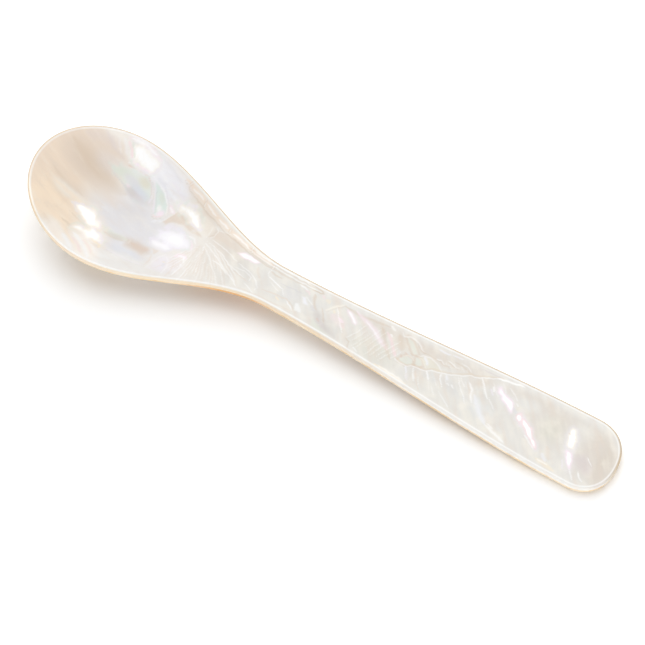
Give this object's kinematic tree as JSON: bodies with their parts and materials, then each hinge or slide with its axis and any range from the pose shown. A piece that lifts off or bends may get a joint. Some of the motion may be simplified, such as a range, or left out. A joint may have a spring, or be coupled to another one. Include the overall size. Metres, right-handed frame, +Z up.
{
  "type": "mother-of-pearl spoon",
  "caption": "Small spoon carved from pearl shell: an oval hollow bowl with a raised lip, a slim neck and a flat handle that widens to a rounded end. For eggs, caviar or preserves.",
  "frame": {"origin": "on the table under the middle of the spoon's length, as it lies with the hollow up", "axes": "+X along the spoon from the bowl to the handle's end, +Y across it, +Z up out of the hollow"},
  "size_m": [0.125, 0.028, 0.0106],
  "materials": {
    "nacre": null,
    "honey_shell": null
  },
  "bodies": {
    "root": {"nacre_face": "nacre", "honey_back": "honey_shell"}
  },
  "joints": []
}
